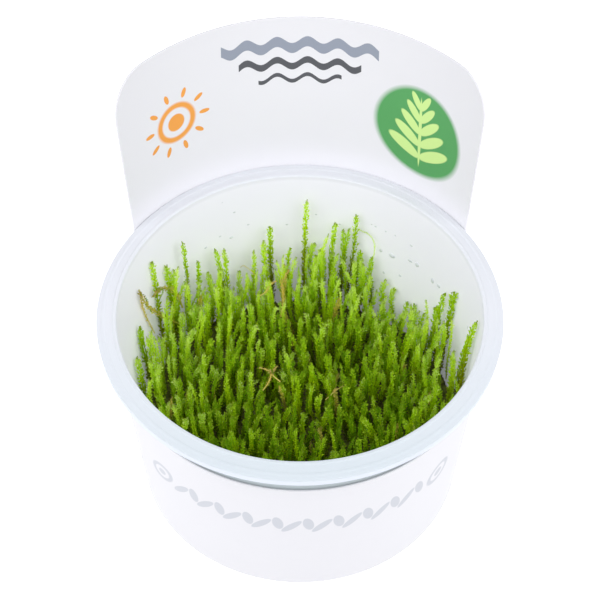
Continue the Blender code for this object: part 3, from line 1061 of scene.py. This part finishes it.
# %% [markdown]
# A shoot's tone is one number from 0 to 1 that picks its colour: near 0 it is dead, from 0.2 to
# 0.7 it goes from deep green to yellow-green, and above that it is a pale young shoot. Its taper
# is the length in millimetres over which the leaves open out below the tip: with a short one the
# tip is blunt, and with a long one it is a slim bud. Its ageing says how fast the leaves darken
# down the stem: a faded strand is nearly as pale at its foot as at its tip.

# %% Plan the shoots
MAT_TOP = 14.0
TIP_DROP = 0.6
TIP_SPREAD = 3.7
LEAN_SPREAD = 1.6
WAVE_LEAN = 1.1
SHOOT_LENGTH = 17.0
GIRTH = 0.9
GIRTH_SPREAD = 0.16
GIRTH_LIMITS = (0.64, 1.35)
TAPERS = (1.0, 3.0)
TONES = (0.24, 0.8)
PAINTED_LIGHT_BY_THE_WALL = 0.4
PAINTED_LIGHT_TO_THE_BACK = 0.0045
PAINTED_LIGHT_TO_THE_LEFT = 0.002
DEAD_SHARE = 0.025
DEAD_TONE = 0.07
DEAD_DROP = 5.0


def carpet_shoots():
    """The carpet's shoots, one row each. Tips scatter about the carpet's level. Neighbours lean
    alike because part of the lean is a slow wave of the place: the sine of x / 8 + y / 13 and the
    cosine of y / 9 - x / 17. Shoots by the wall, and to the back and the left, get a paler tone as
    painted light."""
    places = shoot_places()
    x, y = places[:, 0], places[:, 1]
    count = len(places)
    level = moss_level(x, y)
    tip = np.column_stack([places, level + draw.normal(-TIP_DROP, TIP_SPREAD, count)])
    wave = np.column_stack([np.sin(x / 8 + y / 13), np.cos(y / 9 - x / 17), np.zeros(count)])
    foot = tip + sideways(LEAN_SPREAD, count) + WAVE_LEAN * wave
    foot[:, 2] = np.maximum(level - SHOOT_LENGTH, MAT_TOP - 1.0)
    # painted light: a higher, paler tone by the wall, to the back and to the left
    tone = draw.uniform(*TONES, count) + PAINTED_LIGHT_BY_THE_WALL * by_the_wall(x, y)
    tone += PAINTED_LIGHT_TO_THE_BACK * y - PAINTED_LIGHT_TO_THE_LEFT * x
    dead = draw.random(count) < DEAD_SHARE
    tip[dead, 2] -= DEAD_DROP
    return {
        "tip": tip,
        "foot": foot,
        "bow": sideways(0.6, count),
        "sway": sideways(0.22, count),
        "girth": np.clip(draw.normal(GIRTH, GIRTH_SPREAD, count), *GIRTH_LIMITS),
        "tone": np.where(dead, DEAD_TONE, tone),
        "taper": draw.uniform(*TAPERS, count),
        "ageing": np.ones(count),
    }


# %% Tall shoots, side shoots and strands
BRANCHED_SHARE = 0.07
BRANCH_STARTS = (0.35, 0.65)
BRANCH_LENGTHS = (5.0, 9.0)
BRANCH_GIRTH = 0.85


def tall_shoots():
    """The listed tall shoots, which are stout and pale."""
    count = len(TALL_SHOOTS)
    tip = TALL_SHOOTS[:, :3].copy()
    foot = tip + np.column_stack([TALL_SHOOTS[:, 3:], np.zeros(count)])
    foot[:, 2] = MAT_TOP
    return {
        "tip": tip,
        "foot": foot,
        "bow": sideways(0.4, count),
        "sway": sideways(0.25, count),
        "girth": np.clip(draw.normal(1.2, 0.12, count), 0.95, 1.5),
        "tone": draw.uniform(0.66, 0.9, count),
        "taper": draw.uniform(1.0, 2.6, count),
        "ageing": np.ones(count),
    }


def branches_of(shoots):
    """Side shoots: each starts part way up a stem and turns up beside it."""
    start = draw.uniform(*BRANCH_STARTS, len(shoots["tip"]))
    place, along = stem_line(shoots, start)
    length = draw.uniform(*BRANCH_LENGTHS, len(place))[:, None]
    return {
        **shoots,
        "tip": place + unit(along + sideways(0.2, len(place))) * length,
        "foot": place,
        "bow": sideways(0.3, len(place)),
        "sway": sideways(0.1, len(place)),
        "girth": shoots["girth"] * BRANCH_GIRTH,
    }


def faded_strands():
    """The listed strands. A strand is a thin shoot that lies over."""
    count = len(FADED_STRANDS)
    bow = np.column_stack([FADED_STRANDS[:, 6], np.zeros(count), FADED_STRANDS[:, 7]])
    return {
        "tip": FADED_STRANDS[:, :3].copy(),
        "foot": FADED_STRANDS[:, 3:6].copy(),
        "bow": bow,
        "sway": sideways(0.4, count),
        "girth": FADED_STRANDS[:, 8].copy(),
        "tone": FADED_STRANDS[:, 9].copy(),
        "taper": np.full(count, 2.0),
        "ageing": np.full(count, 0.2),
    }


# %% All the shoots
carpet = carpet_shoots()
parents = gather(carpet, draw.random(len(carpet["tip"])) < BRANCHED_SHARE)
shoots = together(carpet, branches_of(parents), tall_shoots(), faded_strands())
keep_inside(shoots["tip"])
keep_inside(shoots["foot"])
print(len(shoots["tip"]), "shoots, the highest at", round(shoots["tip"][:, 2].max(), 1), "mm")

# %% [markdown]
# On a real shoot the leaves sit on a spiral, each a golden angle round from the last, and closer
# together at the young tip. There they lie along the stem, and further down they stand out from
# it. A leaf's two sides are folded back a little, so that the light catches them differently.

# %% Leaves of many shoots at once
LEAF_STEP = 1 / 8
LEAF_STEP_GROWTH = 0.00008
BARE_FOOT = 1.0
LEAF_LENGTH = 0.74
LEAF_WIDTH = 0.56
LEAF_WIDEST = 0.45
LEAF_FOLD = 0.08
LEAF_OFF_STEM = 0.3
BUD_SIZE = 0.62
GOLDEN_ANGLE = math.pi * (3.0 - math.sqrt(5.0))
CLOSED = 7.0
OPENS_BY = 26.0
DEPTH_SHOWN = 24.0
TONE_WIDTH = 0.16
LEAF_WEDGE = np.array([(0, 3, 1), (0, 2, 3), (0, 1, 2), (1, 3, 2)])


def around(along):
    """Two directions square to a stem and to each other: the cross product of the stem with y,
    and that of the stem with the first."""
    first = unit(np.cross(along, np.array([0.0, 1.0, 0.0])))
    return first, np.cross(along, first)


def deal_leaves(length):
    """Leaf number n sits n times the step plus n squared times the growth below its shoot's tip.
    Solved for n at the stem's length, that is how many leaves a shoot has. Returns each leaf's
    shoot and number."""
    leafy = np.maximum(length - BARE_FOOT, 0.5)
    root = np.sqrt(LEAF_STEP**2 + 4 * LEAF_STEP_GROWTH * leafy)
    count = ((root - LEAF_STEP) / (2 * LEAF_STEP_GROWTH)).astype(int)
    owner = np.repeat(np.arange(len(length)), count)
    return owner, np.arange(count.sum()) - np.repeat(np.cumsum(count) - count, count)


def leaf_tones(own):
    """The tones at the foot, the two sides and the tip of each leaf, from its shoot's own tone.
    They vary from leaf to leaf and across each, but little on a dead shoot, and no leaf of a
    living shoot looks dead."""
    variety = 0.3 + 0.7 * smooth_step((own - 0.1) / 0.2)
    tone = own + draw.normal(0, 0.1, len(own)) * variety
    tone = tone[:, None] + TONE_WIDTH * np.array([-1.0, -0.3, 0.3, 0.7]) * variety[:, None]
    return np.maximum(tone, np.minimum(own - 0.02, 0.16)[:, None])


def leaves_of(shoots):
    """All the leaves of these shoots, each turned a golden angle from the one before. A leaf has
    a foot on the stem, two side points and a tip, and opens and grows over the shoot's taper.
    Returns points, faces and each point's pair (tone, depth share), where depth is how far down
    the shoot it is, times the ageing."""
    length = np.linalg.norm(shoots["tip"] - shoots["foot"], axis=1)
    owner, number = deal_leaves(length)
    loose = number + draw.uniform(0.0, 0.8, len(number))
    below = loose * LEAF_STEP + loose**2 * LEAF_STEP_GROWTH
    place, along = stem_line(gather(shoots, owner), 1.0 - below / length[owner])
    first, second = around(along)
    phase = draw.uniform(0, math.tau, len(length))[owner]
    turn = number * GOLDEN_ANGLE + phase + draw.normal(0, 0.3, len(number))
    out = first * np.cos(turn)[:, None] + second * np.sin(turn)[:, None]
    across = np.cross(along, out)
    open_share = smooth_step(below / shoots["taper"][owner])
    grown = BUD_SIZE + (1 - BUD_SIZE) * open_share
    size = (shoots["girth"][owner] * grown * draw.normal(1.0, 0.15, len(number)))[:, None]
    spread = draw.normal(0, 5, len(number)) * (1 + open_share)
    opening = np.radians(CLOSED + OPENS_BY * open_share + spread)[:, None]
    rise = along * np.cos(opening) + out * np.sin(opening)
    back = out * np.cos(opening) - along * np.sin(opening)
    curl = draw.normal(0.05, 0.15, len(number))[:, None]
    base = place + out * LEAF_OFF_STEM * size
    side = base + rise * LEAF_LENGTH * LEAF_WIDEST * size - back * LEAF_FOLD
    half = across * LEAF_WIDTH * size / 2
    end = base + (rise + back * curl) * LEAF_LENGTH * size
    points = np.stack([base, side - half, side + half, end], axis=1).reshape(-1, 3)
    faces = (np.arange(len(number))[:, None, None] * 4 + LEAF_WEDGE).reshape(-1, 3)
    tone = leaf_tones(shoots["tone"][owner])
    depth = (below * shoots["ageing"][owner])[:, None] + np.array([0.3, 0.0, 0.0, -0.4])
    pairs = np.stack([tone, depth / DEPTH_SHOWN], axis=-1).reshape(-1, 2)
    return points, faces, np.clip(pairs, 0.001, 0.999)


# %% Stems
STEM_SIDES = 4
STEM_RINGS = 8
STEM_RADIUS = 0.24
STEM_POINT = 0.3
STEM_DARKER = 1.5


def stems_of(shoots):
    """Each stem is a thin four-sided tube through the same line as its leaves, closed by one
    point at each end. Its radius shrinks by half on the way to the tip, and its colour is that
    of leaves a little further down."""
    count = len(shoots["tip"])
    share = np.tile(np.linspace(0.0, 1.0, STEM_RINGS), count)
    owner = np.repeat(np.arange(count), STEM_RINGS)
    place, along = stem_line(gather(shoots, owner), share)
    first, second = around(along)
    turn = (np.arange(STEM_SIDES) * math.tau / STEM_SIDES)[None, :, None]
    ring = first[:, None] * np.cos(turn) + second[:, None] * np.sin(turn)
    radius = STEM_RADIUS * shoots["girth"][owner] * (1.0 - 0.5 * share)
    tube = (place[:, None] + ring * radius[:, None, None]).reshape(count, -1, 3)
    point = shoots["tip"] + along.reshape(count, STEM_RINGS, 3)[:, -1] * STEM_POINT
    points = np.concatenate([tube, shoots["foot"][:, None], point[:, None]], axis=1)
    wall = grid_faces(STEM_RINGS, STEM_SIDES, wrap=True)
    here = np.arange(STEM_SIDES)
    beside = (here + 1) % STEM_SIDES
    last = STEM_SIDES * (STEM_RINGS - 1)
    size = STEM_SIDES * STEM_RINGS
    low_cap = np.stack([beside, here, np.full(STEM_SIDES, size)], axis=1)
    high_cap = np.stack([here + last, beside + last, np.full(STEM_SIDES, size + 1)], axis=1)
    one = np.vstack([wall[:, [0, 1, 2]], wall[:, [0, 2, 3]], low_cap, high_cap])
    faces = (np.arange(count)[:, None, None] * (size + 2) + one).reshape(-1, 3)
    length = np.linalg.norm(shoots["tip"] - shoots["foot"], axis=1)[:, None]
    ring_depth = np.repeat(1.0 - share.reshape(count, -1), STEM_SIDES, axis=1) * length
    depth = np.concatenate([ring_depth, length, length * 0.0], axis=1)
    depth = depth * shoots["ageing"][:, None] + STEM_DARKER
    across = np.append(np.tile([0.0, 0.1, 0.0, -0.1], STEM_RINGS), [0.05, 0.05]) * TONE_WIDTH
    tone = shoots["tone"][:, None] + across
    pairs = np.stack([tone, depth / DEPTH_SHOWN], axis=-1).reshape(-1, 2)
    return points.reshape(-1, 3), faces, np.clip(pairs, 0.001, 0.999)


# %% [markdown]
# A moss leaf is one cell thick, wet and full of green, so light passes through it and it glints.
# Young tips are yellow-green, older leaves a deeper green, and the feet turn olive brown. The
# colour is a formula of the piece's own map: the tone goes across it and the depth up it.

# %% Moss leaf
# the export keeps a piece's own map where it has this name
LEAF_MAP = "OFBake"
LEAF_COLOURS = (
    ((0.0, "#dcc878"), (0.05, "#f6e88a"), (0.25, "#e8d866"), (0.5, "#ae9a48"), (1.0, "#80653a")),
    ((0.0, "#86a024"), (0.05, "#9cc61e"), (0.25, "#8cba08"), (0.5, "#789e04"), (1.0, "#6a720a")),
    ((0.0, "#a4b83a"), (0.05, "#daf244"), (0.25, "#d4ee0e"), (0.5, "#bed806"), (1.0, "#a2a806")),
    ((0.0, "#a0b052"), (0.05, "#eefca0"), (0.25, "#e6fa50"), (0.5, "#daf024"), (1.0, "#bccc16")),
)
TONE_LIMITS = ((0.06, 0.14), (0.2, 0.72), (0.72, 0.9))
THROUGH_SHARE = 0.6


def moss_leaf():
    """Living leaf: four colour ramps down the shoot, mixed by the tone. Two fifths of it is a
    glossy wet face, and three fifths is light that comes through from the other side."""
    material, tree = empty_material("living moss leaf")
    pair = add(tree, "UVMap", uv_map=LEAF_MAP)
    tone, depth, _ = add(tree, "SeparateXYZ", {0: pair}).node.outputs
    ramps = []
    for stops in LEAF_COLOURS:
        ramps.append(add(tree, "ValToRGB", {"Fac": depth}))
        elements = ramps[-1].node.color_ramp.elements
        while len(elements) < len(stops):
            elements.new(0.5)
        for element, (place, colour) in zip(elements, stops):
            element.position = place
            element.color = linear(colour)
    colour = ramps[0]
    for (low, high), ramp in zip(TONE_LIMITS, ramps[1:]):
        share = add(tree, "MapRange", {"Value": tone, "From Min": low, "From Max": high})
        colour = add(tree, "Mix", {0: share, 6: colour, 7: ramp}, **OF_COLOURS)
    wet = {"Roughness": 0.3, "Specular IOR Level": 0.18}
    leaf = add(tree, "BsdfPrincipled", {"Base Color": colour, **wet})
    through = add(tree, "BsdfTranslucent", {"Color": colour})
    both = add(tree, "MixShader", {0: THROUGH_SHARE, 1: leaf, 2: through})
    add(tree, "OutputMaterial", {"Surface": both})
    return material


# %% Plant the shoots
REGIONS = 6
leaf_material = moss_leaf()
order = np.argsort(shoots["foot"][:, 0], kind="stable")
for region, chosen in enumerate(np.array_split(order, REGIONS)):
    group = gather(shoots, chosen)
    leaf_points, leaf_faces, leaf_pairs = leaves_of(group)
    stem_points, stem_faces, stem_pairs = stems_of(group)
    make_piece(
        f"moss_shoots_{region + 1}",
        np.vstack([leaf_points, stem_points]),
        np.vstack([leaf_faces, stem_faces + len(leaf_points)]),
        [leaf_material],
        "moss",
        smooth=False,
        uv=(LEAF_MAP, np.vstack([leaf_pairs, stem_pairs])),
    )

# %% [markdown]
# ## The mat under the shoots
#
# Between the shoots one looks down into the dark: old stems and litter, matted together on the
# gel. A rough dark surface closes the gaps.

# %% The moss mat
MAT_CELLS = 110
MAT_BOTTOM = GEL_TOP + FIT_GAP
MAT_CLEARANCE = 0.6
MAT_ROUGHNESS = 0.5
MAT_FOOT = 0.97


def on_disc(u, v):
    """Maps the square from -1 to 1 onto a disc of radius 1: x = u sqrt(1 - v v / 2), and the same
    for y with u and v changed over."""
    return u * np.sqrt(1 - v * v / 2), v * np.sqrt(1 - u * u / 2)


def moss_mat():
    """A grid on the disc, rough on top, with its edge folded down to the gel and closed below."""
    side = np.linspace(-1, 1, MAT_CELLS + 1)
    u, v = np.meshgrid(side, side, indexing="ij")
    x, y = on_disc(u, v)
    radius = cup_inside(MAT_BOTTOM) - MAT_CLEARANCE
    x, y = x * radius, y * radius
    z = MAT_TOP + draw.normal(0.0, MAT_ROUGHNESS, x.shape)
    top = np.stack([x, y, z], axis=-1)
    low = np.stack([x * MAT_FOOT, y * MAT_FOOT, np.full(x.shape, MAT_BOTTOM)], axis=-1)
    faces = grid_faces(MAT_CELLS + 1, MAT_CELLS + 1)
    index = np.arange((MAT_CELLS + 1) ** 2).reshape(MAT_CELLS + 1, -1)
    ring = np.concatenate([index[0], index[1:, -1], index[-1, -2::-1], index[-2:0:-1, 0]])
    after = np.roll(ring, -1)
    count = index.size
    wall = np.stack([ring, after, after + count, ring + count], axis=1)
    points = np.vstack([top.reshape(-1, 3), low.reshape(-1, 3)])
    return points, np.vstack([faces, faces[:, ::-1] + count, wall])


# %% Old moss
LITTER_WIDTH = 1.92
LITTER_COLOURS = ((0.3, "#524a20"), (0.7, "#8a9440"))


def old_moss():
    """Matted old stems and litter: dull brown and olive, with a rough, broken surface."""
    material, tree = empty_material("matted old moss")
    place = add(tree, "TexCoord", output="Object")
    litter = {"Scale": 1 / (LITTER_WIDTH * MM), "Detail": 5.0, "Roughness": 0.7}
    mat = add(tree, "TexNoise", {"Vector": place, **litter})
    ramp = add(tree, "ValToRGB", {"Fac": mat})
    for element, (share, colour) in zip(ramp.node.color_ramp.elements, LITTER_COLOURS):
        element.position = share
        element.color = linear(colour)
    bump = add(tree, "Bump", {"Height": mat, "Strength": 0.8, "Distance": 0.0008})
    rough = {"Roughness": 0.7, "Normal": bump, "Specular IOR Level": 0.3}
    shader = add(tree, "BsdfPrincipled", {"Base Color": ramp, **rough})
    add(tree, "OutputMaterial", {"Surface": shader})
    return material


mat_points, mat_faces = moss_mat()
mat = make_piece("moss_mat", mat_points, mat_faces, [old_moss()], "moss")
merge_points(mat)

# %% [markdown]
# ## Beads on the wall
#
# The air in a closed culture cup is damp, so small beads of water and gel cling to the inside
# of the wall. Each bead is a flattened half ball, set into the wall.

# %% The beads' places
# degrees round from the back, height, half width, half height
BEAD_SPOTS = np.array([
    (-4.5, 41.5, 0.45, 0.3),
    (29.4, 37.8, 0.5, 0.6),
    (33.9, 37.8, 0.9, 0.8),
    (41.4, 39.6, 0.8, 0.5),
    (44.5, 39.9, 0.7, 0.8),
    (41.0, 44.9, 0.5, 0.35),
    (52.4, 38.8, 0.6, 0.9),
    (55.7, 39.1, 0.7, 0.6),
    (30.5, 45.1, 0.4, 0.3),
    (26.6, 45.4, 0.5, 0.3),
    (34.2, 45.2, 0.35, 0.3),
    (25.1, 45.6, 0.4, 0.25),
    (38.0, 32.4, 0.5, 0.4),
    (31.4, 30.5, 0.4, 0.4),
    (-34.4, 40.9, 0.5, 0.35),
    (-28.5, 42.5, 0.5, 0.3),
    (-24.4, 40.7, 0.6, 0.4),
    (-18.0, 43.5, 0.4, 0.3),
    (-26.6, 53.8, 0.35, 0.25),
    (-22.6, 49.1, 0.5, 0.3),
    (13.7, 42.7, 0.4, 0.3),
    (5.5, 45.1, 0.35, 0.3),
    (-72.0, 36.0, 0.5, 0.5),
    (-80.0, 31.0, 0.6, 0.5),
    (78.0, 41.0, 0.5, 0.4),
    (66.0, 44.0, 0.4, 0.4),
])
BEAD_RINGS = 6
BEAD_SIDES = 12
BEAD_RISE = 0.5


def wall_beads():
    """A half ball on the wall: away from its middle by the sine of an angle that runs from the
    pole to a little past the equator, and off the wall by its cosine."""
    tilt = np.linspace(0, math.radians(100), BEAD_RINGS)[:, None]
    turn = np.linspace(0, math.tau, BEAD_SIDES, endpoint=False)
    right = (np.sin(tilt) * np.cos(turn)).ravel()
    up = (np.sin(tilt) * np.sin(turn)).ravel()
    off = np.repeat(np.cos(tilt), BEAD_SIDES)
    angle, height, wide, tall = BEAD_SPOTS.T[:, :, None]
    z = height + up * tall
    radius = cup_inside(z) - off * BEAD_RISE * np.minimum(wide, tall)
    round_by = np.radians(angle) + right * wide / radius
    points = np.stack([radius * np.sin(round_by), radius * np.cos(round_by), z], axis=-1)
    one = grid_faces(BEAD_RINGS, BEAD_SIDES, wrap=True)
    size = BEAD_RINGS * BEAD_SIDES
    faces = (np.arange(len(BEAD_SPOTS))[:, None, None] * size + one).reshape(-1, 4)
    return points.reshape(-1, 3), faces


def water_bead():
    """Water thickened with agar: a wet, milky grey bead."""
    material, tree = empty_material("water bead")
    wet = {"Base Color": linear("#d2d5d8"), "Roughness": 0.6, "IOR": 1.34}
    add(tree, "OutputMaterial", {"Surface": add(tree, "BsdfPrincipled", wet)})
    return material


bead_points, bead_faces = wall_beads()
beads = make_piece("wall_beads", bead_points, bead_faces, [water_bead()], None)
merge_points(beads)
